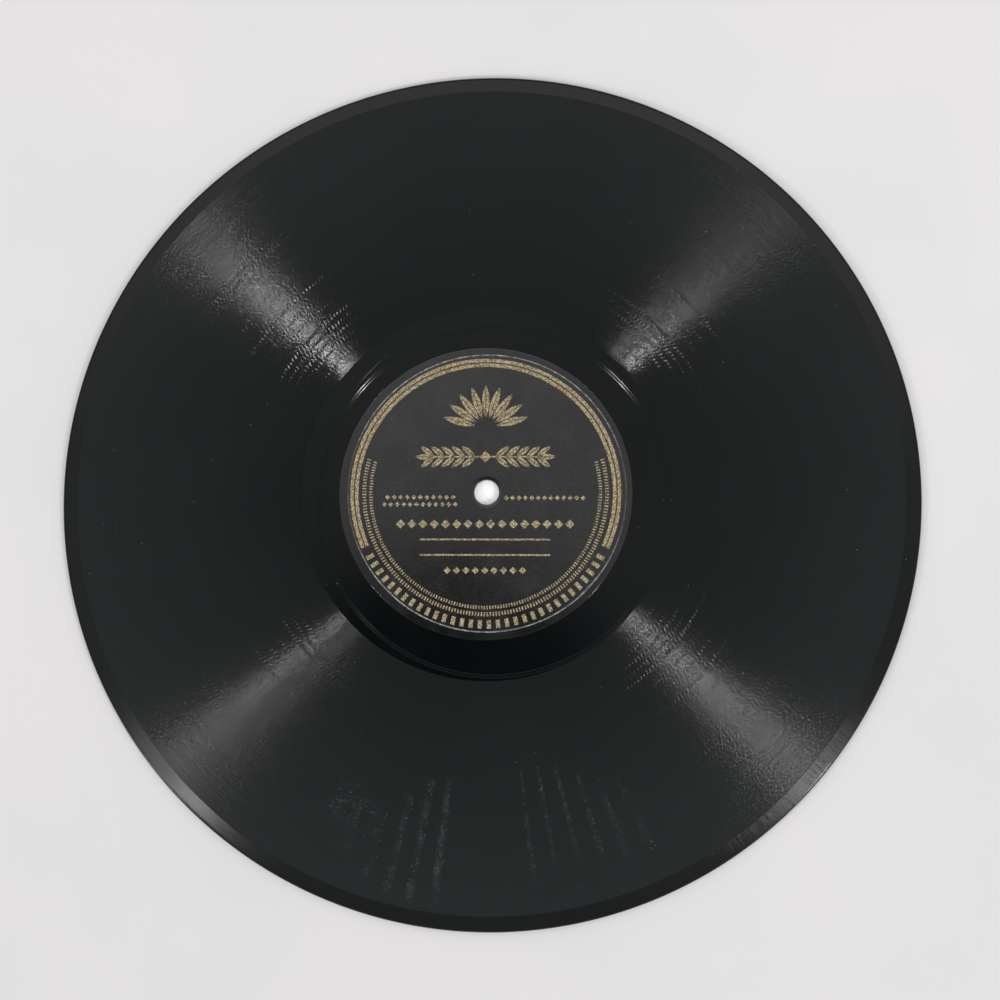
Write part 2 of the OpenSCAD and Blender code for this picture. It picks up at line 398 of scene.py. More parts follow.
def paperMaterial():
    look = paperLook
    material, tree, shader, wires = startMaterial("labelPaper")
    long = addNode(tree, "ShaderNodeMapping")
    feed(tree, long.inputs["Vector"], wires["place"])
    long.inputs["Scale"].default_value = look["fibreScale"]
    fibre = noise(tree, long.outputs[0], 1.0, 4.0, 0.6)
    scuff = noise(tree, wires["place"], look["scuffScale"], 5.0, 0.62)
    colour = mixColour(tree, remap(tree, scuff, 0.4, 0.75), look["black"], look["scuffed"])
    inBorder = calc(tree, "SUBTRACT", wires["radius"], look["borderRadius"])
    inBorder = remap(tree, inBorder, -look["borderFade"], look["borderFade"], 0.0, look["borderShare"])
    colour = mixColour(tree, inBorder, colour, look["border"])
    # the pressed ring is rubbed pale, with a painted highlight on it that is strongest at the head and the
    # foot
    apart = calc(tree, "ABSOLUTE", calc(tree, "SUBTRACT", wires["radius"], look["paleLineRadius"]))
    broken = noise(tree, roundCoordinate(tree, wires, *look["paleLineCells"]), 1.0, 4.0, 0.65)
    broken = remap(tree, broken, 0.38, 0.6, 0.3)
    highlightAtHeadAndFoot = remap(tree, calc(tree, "ABSOLUTE", calc(tree, "SINE", wires["angle"])), 0.2, 0.7, 0.2, 1.0)
    line = calc(tree, "MULTIPLY", broken, highlightAtHeadAndFoot)
    line = calc(tree, "MULTIPLY", line, remap(tree, apart, *look["paleLineFade"]))
    colour = mixColour(tree, line, colour, look["rubbedAndHighlight"])
    # a brown stain lies between the lines of the printed ring
    shifted = vectorCalc(tree, "SUBTRACT", wires["flat"], (*paperCentre, 0.0))
    apart = calc(tree, "MULTIPLY", vectorCalc(tree, "LENGTH", shifted), 1 / mm)
    apart = calc(tree, "ABSOLUTE", calc(tree, "SUBTRACT", apart, look["stainRadius"]))
    opening = remap(tree, calc(tree, "SINE", wires["angle"]), *look["stainOpening"])
    stain = calc(tree, "MULTIPLY", remap(tree, apart, *look["stainFade"]), opening)
    colour = mixColour(tree, stain, colour, look["stain"])
    lift = remap(tree, fibre, 0.3, 0.7, *look["fibreLift"])
    tree.links.new(scaleVector(tree, colour, lift), shader.inputs["Base Color"])
    rough = remap(tree, scuff, 0.3, 0.8, *look["roughness"])
    tree.links.new(rough, shader.inputs["Roughness"])
    shader.inputs["Specular IOR Level"].default_value = look["specular"]
    shader.inputs["IOR"].default_value = look["density"]
    bumpInto(tree, shader, calc(tree, "MULTIPLY", fibre, look["fibreHeight"] * mm))
    return material


# bronze ink: powdery metal that has worn thin in spots
inkLook = {
    "bright": rgb(0.66, 0.57, 0.38),
    "dull": rgb(0.155, 0.108, 0.038),
    "worn": rgb(0.052, 0.036, 0.012),
    "metal": 0.3,
    "roughness": (0.38, 0.6),
    "grainScale": 2600.0,
    "grainHeight": 0.005,
    "patchScale": 420.0,
}


def inkMaterial():
    look = inkLook
    material, tree, shader, wires = startMaterial("bronzeInk")
    grain = noise(tree, wires["place"], look["grainScale"], 3.0, 0.6)
    patch = noise(tree, wires["place"], look["patchScale"], 4.0, 0.6)
    colour = mixColour(tree, remap(tree, grain, 0.38, 0.66), look["dull"], look["bright"])
    bare = calc(tree, "MULTIPLY", remap(tree, patch, 0.56, 0.72), remap(tree, grain, 0.62, 0.4))
    colour = mixColour(tree, bare, colour, look["worn"])
    tree.links.new(colour, shader.inputs["Base Color"])
    shader.inputs["Metallic"].default_value = look["metal"]
    rough = remap(tree, patch, 0.3, 0.7, *look["roughness"])
    tree.links.new(rough, shader.inputs["Roughness"])
    bumpInto(tree, shader, calc(tree, "MULTIPLY", grain, look["grainHeight"] * mm))
    return material


grooveShellac = shellacMaterial("grooveShellac", True)
smoothShellac = shellacMaterial("smoothShellac", False)
labelPaper = paperMaterial()
bronzeInk = inkMaterial()
print("materials made")


# a smooth mesh, sharp where faces meet at more than an angle
def putMesh(name, points, faces, material, sharpDegrees=30):
    mesh = bpy.data.meshes.new(name)
    mesh.from_pydata([tuple(p) for p in points], [], faces)
    mesh.materials.append(material)
    mesh.polygons.foreach_set("use_smooth", [True] * len(mesh.polygons))
    mesh.set_sharp_from_angle(angle=math.radians(sharpDegrees))
    mesh.update()
    piece = bpy.data.objects.new(name, mesh)
    bpy.context.scene.collection.objects.link(piece)
    return piece


def settle(piece, slot, *nodes):
    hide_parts(*nodes)
    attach(piece, "root")


# a copy of points or rings of the front side, turned over to the back
def turnOver(points):
    turned = np.array(points, float)
    turned[..., 0] *= -1
    turned[..., 2] = discSize["low"] + discSize["high"] - turned[..., 2]
    return turned


discShape = {
    "segments": 360,
    "holeRadius": 3.63,
    "seatDepth": 0.22,
    "seatRadius": 42.85,
    "seatRound": 0.08,
    "seatSteps": 8,
    "seatFlat": 1.6,
    "stopOffset": 3.05,
    "stopDirection": 305.0,
    "stopRadii": (50.45, 51.2),
    "stopHalfWidth": 0.15,
    "stopDepth": 0.08,
    # the stop groove from its middle out, as shares of its half width and depth
    "stopProfile": ((0.1, 1), (0.92, 0.06), (1.06, 0), (1.3, 0)),
    # the groove that leads there, in degrees and mm, and its profile as for the stop groove
    "leadStart": 15.0,
    "leadSweep": 170.0,
    "leadHalfWidth": 0.06,
    "leadDepth": 0.022,
    "leadProfile": ((-1.4, 0), (-1, 0), (0, 1), (1, 0), (1.4, 0)),
    # room left to the stop groove and to the band, and the shares of the sweep in which the rings swing back
    "leadClear": (0.01, 0.03),
    "leadBack": (1.6, 2.1),
    "leadFade": 12,
    "bandInner": 54.7,
    "bandOuter": 120.9,
    "bandDepth": 0.15,
    "marginFall": 0.2,
    "marginRings": (0.5, 0.97),
    "edgeRadius": 0.85,
    "edgeStep": 10,
    "sharpDegrees": 14,
}
turns = np.arange(discShape["segments"]) * math.tau / discShape["segments"]


def ring(radius, height, centre=(0.0, 0.0)):
    across = np.broadcast_to(np.asarray(radius, float), turns.shape)
    up = np.broadcast_to(np.asarray(height, float), turns.shape)
    return np.stack([centre[0] + across * np.cos(turns), centre[1] + across * np.sin(turns), up], axis=1)


# rings of the front face from the hole to the margin, in mm
def faceRings():
    s = discShape
    top = thickness / mm
    floor = top - s["seatDepth"]
    centre = (paperCentre[0] / mm, paperCentre[1] / mm)
    rings = [ring(s["holeRadius"], floor)]
    rings.append(ring(s["seatRadius"], floor, centre))
    for bend in np.linspace(0, math.pi / 2, s["seatSteps"]):
        out = s["seatRadius"] + s["seatRound"] * (1 - math.cos(bend))
        rings.append(ring(out, top - s["seatRound"] * (1 - math.sin(bend)), centre))
    rings.append(ring(s["seatRadius"] + s["seatRound"] * s["seatFlat"], top, centre))
    toward = math.radians(s["stopDirection"])
    stopCentre = (s["stopOffset"] * math.cos(toward), s["stopOffset"] * math.sin(toward))
    profile = [(-side, drop) for side, drop in reversed(s["stopProfile"])] + list(s["stopProfile"])
    for radius in s["stopRadii"]:
        for side, drop in profile:
            rings.append(ring(radius + side * s["stopHalfWidth"], top - drop * s["stopDepth"], stopCentre))
    rings += leadRings(top, toward)
    for radius, drop in ((s["bandInner"], 0), (s["bandInner"], 1), (s["bandOuter"], 1), (s["bandOuter"], 0)):
        rings.append(ring(radius, top - drop * s["bandDepth"]))
    return rings


# the faint groove that leads from the last turn to the stop groove
def leadRings(top, toward):
    s = discShape
    stop = s["stopRadii"][-1] + s["stopHalfWidth"] * s["stopProfile"][-1][0]
    away = turns - toward
    stopEdge = s["stopOffset"] * np.cos(away) + np.sqrt(stop**2 - (s["stopOffset"] * np.sin(away)) ** 2)
    along = np.mod(turns - math.radians(s["leadStart"]), math.tau) / math.radians(s["leadSweep"])
    ease = np.clip(along, 0, 1) ** 2 * (3 - 2 * np.clip(along, 0, 1))
    reach = s["leadHalfWidth"] * s["leadProfile"][-1][0]
    inner = stopEdge + s["leadClear"][0] + reach
    outer = s["bandInner"] - s["leadClear"][1] - reach
    path = outer + (inner - outer) * ease
    back = np.interp(along, s["leadBack"], (0, 1))
    path = path + (outer - path) * back
    deep = s["leadDepth"] * np.clip(np.minimum(along, 1 - along) * s["leadFade"], 0, 1)
    return [ring(path + side * s["leadHalfWidth"], top - share * deep) for side, share in s["leadProfile"]]


def buildDisc():
    s = discShape
    front = faceRings()
    middle = thickness / mm / 2
    reach = discSize["reach"] / mm - s["edgeRadius"]
    # the margin falls straight to just short of the rounded edge
    fall = s["marginFall"] / (reach - s["bandOuter"])
    for share in s["marginRings"]:
        out = (reach - s["bandOuter"]) * share
        front.append(ring(s["bandOuter"] + out, 2 * middle - fall * out))
    margin = []
    for angle in range(90 - s["edgeStep"] // 2, -90, -s["edgeStep"]):
        bend = math.radians(angle)
        out = reach + s["edgeRadius"] * math.cos(bend)
        margin.append(ring(out, middle + s["edgeRadius"] * math.sin(bend)))
    swap = (s["segments"] // 2 - np.arange(s["segments"])) % s["segments"]
    back = [turnOver(one * mm)[swap] / mm for one in reversed(front)]
    rings = np.array(front + margin + back) * mm
    return loft("discBody", rings, smoothShellac, s["sharpDegrees"])


# closed skin over a loop of rings
def loft(name, rings, material, sharpDegrees):
    count, around = rings.shape[:2]
    faces = []
    for k in range(count):
        here = k * around
        there = (k + 1) % count * around
        for i in range(around):
            j = (i + 1) % around
            faces.append((here + i, there + i, there + j, here + j))
    return putMesh(name, rings.reshape(-1, 3), faces, material, sharpDegrees)


settle(buildDisc(), "shellac", "shellac_disc")
print("disc body made")


# recorded grooves: one spiral of land, wall, floor and wall, cut by a node tree
grooveShape = {
    "turnsPerBand": 131,
    "bands": 2,
    "depth": 0.0745,
    "landShare": 0.37,
    "wallShare": 0.13,
    # the grooves get shallower outwards: two radii in mm and the share of the depth at the second
    "shallow": (60.0, 120.0, 0.72),
    # changes of depth from place to place and over some turns, and of the path in mm, with the scale of each
    "vary": 0.14,
    "varyScale": 41.0,
    "drift": 0.04,
    "driftScale": 0.45,
    "driftStart": 3000.0,
    "wobble": 0.006,
    "wobbleScale": 57.0,
    "wobbleStart": 300.0,
    "segments": 180,
    "taper": 0.02,
    "dip": 0.004,
    "overlap": 0.02,
    "weld": 0.002,
    "sharpDegrees": 70,
}


def grooveTree():
    measures = ("Inner Radius", "Pitch", "Depth", "Land Share", "Wall Share", "Vary", "Drift", "Wobble",
                "Taper", "Dip", "Thickness", "Top", "Shallow From", "Shallow To", "Shallow Share",
                "Inner End", "Outer End")
    sockets = dict.fromkeys(measures, "Float")
    sockets.update({"Turns": "Int", "Segments": "Int", "Material": "Material"})
    tree, size = startTree("grooveBand", sockets)
    # a grid with four columns to a turn, and three more that close the band below
    lastTop = calc(tree, "MULTIPLY", size["Turns"], 4.0)
    lastColumn = calc(tree, "ADD", lastTop, 3.0)
    grid = addNode(tree, "GeometryNodeMeshGrid", Size_X=size["Segments"], Size_Y=lastColumn)
    feed(tree, grid.inputs["Vertices X"], calc(tree, "ADD", size["Segments"], 1.0))
    feed(tree, grid.inputs["Vertices Y"], calc(tree, "ADD", lastColumn, 1.0))
    position = tree.nodes.new("GeometryNodeInputPosition").outputs[0]
    spot = addNode(tree, "ShaderNodeSeparateXYZ", Vector=position)
    row = calc(tree, "ROUND", calc(tree, "ADD", spot.outputs[0], calc(tree, "DIVIDE", size["Segments"], 2.0)))
    column = calc(tree, "ROUND", calc(tree, "ADD", spot.outputs[1], calc(tree, "DIVIDE", lastColumn, 2.0)))
    share = calc(tree, "DIVIDE", row, size["Segments"])
    turn = calc(tree, "FLOOR", calc(tree, "DIVIDE", column, 4.0))
    corner = calc(tree, "SUBTRACT", column, calc(tree, "MULTIPLY", turn, 4.0))
    # corners 0 and 1 are the ends of the land, 2 and 3 the ends of the groove's floor
    onFloor = calc(tree, "GREATER_THAN", corner, 1.5)
    floorShare = calc(tree, "SUBTRACT", 1.0, size["Land Share"])
    floorShare = calc(tree, "SUBTRACT", floorShare, calc(tree, "MULTIPLY", size["Wall Share"], 2.0))
    step = calc(tree, "MULTIPLY", calc(tree, "GREATER_THAN", corner, 0.5), size["Land Share"])
    step = calc(tree, "ADD", step, calc(tree, "MULTIPLY", onFloor, size["Wall Share"]))
    pastFloor = calc(tree, "GREATER_THAN", corner, 2.5)
    step = calc(tree, "ADD", step, calc(tree, "MULTIPLY", pastFloor, floorShare))
    played = calc(tree, "ADD", turn, share)
    # the last columns close the band below: outer foot, inner foot, and the first column again
    pastTop = calc(tree, "GREATER_THAN", column, calc(tree, "ADD", lastTop, 0.5))
    pastOuter = calc(tree, "GREATER_THAN", column, calc(tree, "ADD", lastTop, 1.5))
    closing = calc(tree, "GREATER_THAN", column, calc(tree, "ADD", lastTop, 2.5))
    below = calc(tree, "SUBTRACT", pastTop, closing)
    heard = calc(tree, "MINIMUM", turn, calc(tree, "SUBTRACT", size["Turns"], 1.0))
    heard = calc(tree, "ADD", mixNumber(tree, closing, heard, 0.0), share)
    ripple = lineNoise(tree, heard, grooveShape["varyScale"], 2.0)
    begin = calc(tree, "ADD", played, grooveShape["wobbleStart"])
    swing = lineNoise(tree, begin, grooveShape["wobbleScale"], 1.0)
    wave = calc(tree, "MULTIPLY", calc(tree, "SUBTRACT", swing, 0.5), size["Wobble"])
    count = calc(tree, "SUBTRACT", calc(tree, "ADD", played, step), 1.0)
    free = calc(tree, "ADD", size["Inner Radius"], calc(tree, "MULTIPLY", count, size["Pitch"]))
    free = calc(tree, "ADD", free, wave)
    span = calc(tree, "MULTIPLY", calc(tree, "SUBTRACT", size["Turns"], 1.0), size["Pitch"])
    outer = calc(tree, "ADD", size["Inner Radius"], span)
    radius = hold(tree, free, size["Inner Radius"], outer)
    clipped = calc(tree, "GREATER_THAN", calc(tree, "ABSOLUTE", calc(tree, "SUBTRACT", free, radius)), 1e-9)
    footRadius = calc(tree, "SUBTRACT", outer, calc(tree, "MULTIPLY", pastOuter, span))
    radius = mixNumber(tree, pastTop, radius, footRadius)
    # where the band is clipped, the groove is cut through as deep as it is there
    rise = calc(tree, "SUBTRACT", calc(tree, "SUBTRACT", 1.0, share), size["Land Share"])
    cut = calc(tree, "DIVIDE", calc(tree, "MINIMUM", rise, share), size["Wall Share"])
    sunk = mixNumber(tree, clipped, onFloor, hold(tree, cut, 0.0, 1.0))
    # the band rises to the land at its own ends, but not where the next band goes on
    fromInner = calc(tree, "DIVIDE", calc(tree, "SUBTRACT", radius, size["Inner Radius"]), size["Taper"])
    fromInner = calc(tree, "MAXIMUM", fromInner, calc(tree, "SUBTRACT", 1.0, size["Inner End"]))
    fromOuter = calc(tree, "DIVIDE", calc(tree, "SUBTRACT", outer, radius), size["Taper"])
    fromOuter = calc(tree, "MAXIMUM", fromOuter, calc(tree, "SUBTRACT", 1.0, size["Outer End"]))
    full = calc(tree, "MINIMUM", calc(tree, "MINIMUM", fromInner, fromOuter), 1.0)
    begin = calc(tree, "MULTIPLY", size["Inner Radius"], grooveShape["driftStart"])
    slow = lineNoise(tree, calc(tree, "ADD", heard, begin), grooveShape["driftScale"], 3.0)
    change = calc(tree, "MULTIPLY", calc(tree, "SUBTRACT", ripple, 0.5), size["Vary"])
    easy = calc(tree, "MULTIPLY", calc(tree, "SUBTRACT", slow, 0.5), size["Drift"])
    change = calc(tree, "ADD", change, easy)
    deep = calc(tree, "MULTIPLY", size["Depth"], calc(tree, "ADD", 1.0, calc(tree, "MULTIPLY", change, 2.0)))
    outward = calc(tree, "SUBTRACT", radius, size["Shallow From"])
    outward = calc(tree, "DIVIDE", outward, calc(tree, "SUBTRACT", size["Shallow To"], size["Shallow From"]))
    outward = hold(tree, outward, 0.0, 1.0)
    deep = calc(tree, "MULTIPLY", deep, mixNumber(tree, outward, 1.0, size["Shallow Share"]))
    drop = calc(tree, "MULTIPLY", calc(tree, "MULTIPLY", deep, sunk), full)
    drop = calc(tree, "ADD", drop, calc(tree, "MULTIPLY", calc(tree, "SUBTRACT", 1.0, full), size["Dip"]))
    drop = mixNumber(tree, below, drop, size["Thickness"])
    angle = calc(tree, "MULTIPLY", share, -math.tau)
    place = roundPoint(tree, radius, angle, calc(tree, "SUBTRACT", size["Top"], drop))
    moved = addNode(tree, "GeometryNodeSetPosition", Geometry=grid.outputs[0], Position=place)
    joined = addNode(tree, "GeometryNodeMergeByDistance", Geometry=moved.outputs[0])
    joined.inputs["Distance"].default_value = grooveShape["weld"] * mm
    bend = tree.nodes.new("GeometryNodeInputMeshEdgeAngle").outputs[0]
    rounded = addNode(tree, "GeometryNodeSetShadeSmooth", {"domain": "FACE"}, Geometry=joined.outputs[0])
    corners = addNode(tree, "GeometryNodeSetShadeSmooth", {"domain": "EDGE"}, Geometry=rounded.outputs[0])
    sharp = calc(tree, "GREATER_THAN", bend, math.radians(grooveShape["sharpDegrees"]))
    feed(tree, corners.inputs["Selection"], sharp)
    corners.inputs["Shade Smooth"].default_value = False
    finishTree(tree, corners.outputs[0], size["Material"])
    return tree


# runs a node tree on a new object and keeps the result as a plain mesh
def runTree(name, tree, values):
    piece = bpy.data.objects.new(name, bpy.data.meshes.new(name))
    bpy.context.scene.collection.objects.link(piece)
    modifier = piece.modifiers.new("shape", "NODES")
    modifier.node_group = tree
    for item in tree.interface.items_tree:
        if item.in_out == "INPUT":
            modifier[item.identifier] = values[item.name]
    graph = bpy.context.evaluated_depsgraph_get()
    made = bpy.data.meshes.new_from_object(piece.evaluated_get(graph), depsgraph=graph)
    piece.modifiers.remove(modifier)
    piece.data = made
    made.name = name
    return piece


def turnMesh(piece):
    piece.data.transform(Matrix.Translation((0, 0, thickness)) @ Matrix.Rotation(math.pi, 4, "Y"))


def cutGrooves():
    s = grooveShape
    tree = grooveTree()
    inner = discShape["bandInner"] - s["overlap"]
    width = (discShape["bandOuter"] + s["overlap"] - inner) / s["bands"]
    values = {
        "Pitch": width / (s["turnsPerBand"] - 1) * mm,
        "Depth": s["depth"] * mm,
        "Land Share": s["landShare"],
        "Wall Share": s["wallShare"],
        "Shallow From": s["shallow"][0] * mm,
        "Shallow To": s["shallow"][1] * mm,
        "Shallow Share": s["shallow"][2],
        "Vary": s["vary"],
        "Drift": s["drift"],
        "Wobble": s["wobble"] * mm,
        "Taper": s["taper"] * mm,
        "Dip": s["dip"] * mm,
        "Thickness": discShape["bandDepth"] * mm,
        "Top": thickness,
        "Turns": s["turnsPerBand"],
        "Segments": s["segments"],
        "Material": grooveShellac,
    }
    for side in ("front", "back"):
        for band in range(s["bands"]):
            values["Inner Radius"] = (inner + band * width) * mm
            values["Inner End"] = float(band == 0)
            values["Outer End"] = float(band == s["bands"] - 1)
            grooves = runTree(f"{side}Grooves{band + 1}", tree, values)
            if side == "back":
                turnMesh(grooves)
            settle(grooves, "shellac", "shellac_disc")


cutGrooves()
print("grooves cut")

# labels: paper moulded into each face, with a pressed ring and soft edges, in mm
paperShape = {
    "low": paperSize["low"] / mm,
    "high": paperSize["high"] / mm,
    "reach": paperSize["reach"] / mm,
    "centre": (paperCentre[0] / mm, paperCentre[1] / mm),
    "edgeRound": 0.06,
    "edgeBends": (0, 30, 60, 90),
    "edgeFlat": 3,
    "pressRadius": 40.5,
    "pressHalfWidth": 0.17,
    "pressDepth": 0.07,
    # the pressed ring from side to side, as shares of its half width and depth
    "pressProfile": ((-1.5, 0), (-1, 0), (-0.3, 1), (0.3, 1), (1, 0), (1.5, 0)),
    "flatRings": (5.0, 9.0, 14.0, 20.0, 26.0, 32.0, 37.0),
    "sharpDegrees": 50,
}


def paperRings():
    s = paperShape
    hole = discShape["holeRadius"]
    curve = [math.radians(angle) for angle in s["edgeBends"]]
    rings = [ring(hole, s["low"])]
    for bend in curve:
        out = hole + s["edgeRound"] * (1 - math.cos(bend))
        rings.append(ring(out, s["high"] - s["edgeRound"] * (1 - math.sin(bend))))
    rings += [ring(radius, s["high"]) for radius in s["flatRings"]]
    for side, drop in s["pressProfile"]:
        rings.append(ring(s["pressRadius"] + side * s["pressHalfWidth"], s["high"] - drop * s["pressDepth"]))
    rings.append(ring(s["reach"] - s["edgeRound"] * s["edgeFlat"], s["high"], s["centre"]))
    for bend in reversed(curve):
        out = s["reach"] - s["edgeRound"] * (1 - math.cos(bend))
        rings.append(ring(out, s["high"] - s["edgeRound"] * (1 - math.sin(bend)), s["centre"]))
    rings.append(ring(s["reach"], s["low"], s["centre"]))
    return np.array(rings) * mm


for side, rings in (("front", paperRings()), ("back", turnOver(paperRings()))):
    paper = loft(side + "Paper", rings, labelPaper, paperShape["sharpDegrees"])
    settle(paper, "label_paper", side + "_label")
print("labels made")

# print on the labels, in mm from the label's middle: thin solids of ink with slightly ragged edges
printShape = {
    # the ink reaches a little way into the paper
    "low": printSize["low"] / mm - 0.015,
    "high": printSize["high"] / mm,
    "ragged": 0.02,
    "step": 0.3,
    "foot": 270.0,
    "ringLines": ((37.15, 38.15), (38.55, 39.55)),
    "ringOpening": 131.0,
    "bars": {"count": 32, "step": 360 / 92, "long": 2.4, "wide": 1.2},
    # rows of small marks along the foot: radius, length and width of a mark, pitch along the row
    "markRows": ((35.42, 1.15, 0.42, 0.86), (33.5, 1.0, 0.38, 0.8)),
    "markSweep": 213.0,
    # rows of small lozenges beside the hole: first and last x, y, then their side and pitch
    "sideRows": ((-29.3, -8.6, -1.4), (-30.2, -8.0, -3.5), (5.4, 29.2, -1.6)),
    "sideMark": (1.05, 1.85),
    # ruled lines and chains of lozenges below the hole: length, y, side of a lozenge or none
    "rules": ((52.0, -9.25, 1.9), (38.0, -13.75, None), (38.0, -18.25, None), (24.0, -22.75, 1.5)),
    "ruleWide": 0.5,
    "chainPitch": 1.7,
    "fan": {"count": 9, "y": 18.85, "from": 3.3, "long": 9.5, "wide": 2.2, "spread": 150.0},
    "sprig": {"y": 10.5, "stem": 15.5, "stemWide": 0.5, "long": 5.0, "wide": 1.6, "pitch": 3.0, "pairs": 5,
              "angle": 38.0},
    "lozenge": 2.4,
    "lozengeClear": 0.75,
    "vein": 0.09,
    "leafPoints": 17,
    "leafTip": 0.03,
    "seed": 11,
}
chance = np.random.default_rng(printShape["seed"])


# a solid between two lines of points, the first on the left of the way along
def stripSolid(left, right):
    count = len(left)
    flat = np.concatenate([left, right])
    levels = [np.column_stack([flat, np.full(2 * count, z)]) for z in (printShape["high"], printShape["low"])]
    last = count - 1
    under = 2 * count
    faces = [(0, under, under + count, count), (count + last, under + count + last, under + last, last)]
    for i in range(last):
        j = i + 1
        faces.append((i, count + i, count + j, j))
        faces.append((under + j, under + count + j, under + count + i, under + i))
        faces.append((count + i, under + count + i, under + count + j, count + j))
        faces.append((j, under + j, under + i, i))
    return np.concatenate(levels), faces


def putSolids(name, solids):
    points = []
    faces = []
    for spots, sides in solids:
        base = sum(len(p) for p in points)
        points.append(spots)
        faces += [tuple(base + corner for corner in side) for side in sides]
    return putMesh(name, np.concatenate(points) * mm, faces, bronzeInk)


def uneven(count):
    rough = chance.uniform(-1, 1, count + 2)
    return printShape["ragged"] * (rough[:-2] + rough[1:-1] * 2 + rough[2:]) / 2


def arcSolid(inner, outer, first, last):
    count = int(math.radians(last - first) * outer / printShape["step"]) + 2
    angles = np.radians(np.linspace(first, last, count))
    ways = np.column_stack([np.cos(angles), np.sin(angles)])
    return stripSolid(ways * (inner + uneven(count))[:, None], ways * (outer + uneven(count))[:, None])


def ruleSolid(first, last, y, wide):
    count = int((last - first) / printShape["step"]) + 2
    xs = np.linspace(first, last, count)
    upper = np.column_stack([xs, y + wide / 2 + uneven(count)])
    lower = np.column_stack([xs, y - wide / 2 + uneven(count)])
    return stripSolid(upper, lower)


def blockSolid(long, wide):
    ends = np.array([(-long / 2, wide / 2), (long / 2, wide / 2)])
    return stripSolid(ends, ends * (1, -1))


# the two halves of a leaf along +X, parted by a vein
def leafSolids(long, wide):
    bow = (long**2 + wide**2) / (4 * wide)
    xs = np.linspace(0, long, printShape["leafPoints"])
    vein = printShape["vein"]
    out = np.maximum(wide / 2 - bow + np.sqrt(bow**2 - (xs - long / 2) ** 2), vein + printShape["leafTip"])
    edge = np.column_stack([xs, out])
    seam = np.column_stack([xs, np.full(len(xs), vein)])
    return [stripSolid(edge, seam), stripSolid(seam * (1, -1), edge * (1, -1))]


# repeats of a shape: round a middle, along a line, or both
def repeatTree():
    sockets = {"Shape": "Object", "Count": "Int", "First": "Float", "Step": "Float", "Radius": "Float",
               "Middle": "Vector", "Shift": "Vector", "Material": "Material"}
    tree, given = startTree("repeatShape", sockets)
    index = tree.nodes.new("GeometryNodeInputIndex").outputs[0]
    angle = calc(tree, "ADD", given["First"], calc(tree, "MULTIPLY", index, given["Step"]))
    outward = roundPoint(tree, given["Radius"], angle)
    along = vectorCalc(tree, "MULTIPLY_ADD", given["Shift"], index, given["Middle"])
    spot = vectorCalc(tree, "ADD", along, outward)
    points = addNode(tree, "GeometryNodePoints", Count=given["Count"], Position=spot)
    shape = addNode(tree, "GeometryNodeObjectInfo", Object=given["Shape"])
    copies = addNode(tree, "GeometryNodeInstanceOnPoints", Points=points.outputs[0])
    feed(tree, copies.inputs["Instance"], shape.outputs["Geometry"])
    feed(tree, copies.inputs["Rotation"], addNode(tree, "ShaderNodeCombineXYZ", Z=angle).outputs[0])
    finishTree(tree, copies.outputs[0], given["Material"])
    return tree


repeatShape = repeatTree()


def repeat(solids, count, first, step=0.0, radius=0.0, middle=(0, 0), shift=(0, 0)):
    shape = putSolids("shape", solids)
    values = {
        "Shape": shape,
        "Count": count,
        "First": math.radians(first),
        "Step": math.radians(step),
        "Radius": radius * mm,
        "Middle": (middle[0] * mm, middle[1] * mm, 0.0),
        "Shift": (shift[0] * mm, shift[1] * mm, 0.0),
        "Material": bronzeInk,
    }
    piece = runTree("copies", repeatShape, values)
    bpy.data.objects.remove(shape)
    return piece


# one print piece from several, moved to the label's middle, and its copy on the back
def settlePrint(name, pieces):
    for side in ("front", "back"):
        work = bmesh.new()
        for piece in pieces:
            work.from_mesh(piece.data)
        mesh = bpy.data.meshes.new(side + name)
        work.to_mesh(mesh)
        work.free()
        mesh.materials.append(bronzeInk)
        mesh.transform(Matrix.Translation((paperCentre[0], paperCentre[1], 0)))
        made = bpy.data.objects.new(side + name, mesh)
        bpy.context.scene.collection.objects.link(made)
        if side == "back":
            turnMesh(made)
        settle(made, "bronze_ink", side + "_label_print")
    for piece in pieces:
        bpy.data.objects.remove(piece)


# a row of lozenges that fills the way from first to last
def chain(first, last, y, side, pitch):
    spare = side * math.sqrt(2)
    count = int((last - first - spare) / pitch) + 1
    step = (last - first - spare) / (count - 1)
    return repeat([blockSolid(side, side)], count, 45, 0, 0, (first + spare / 2, y), (step, 0))


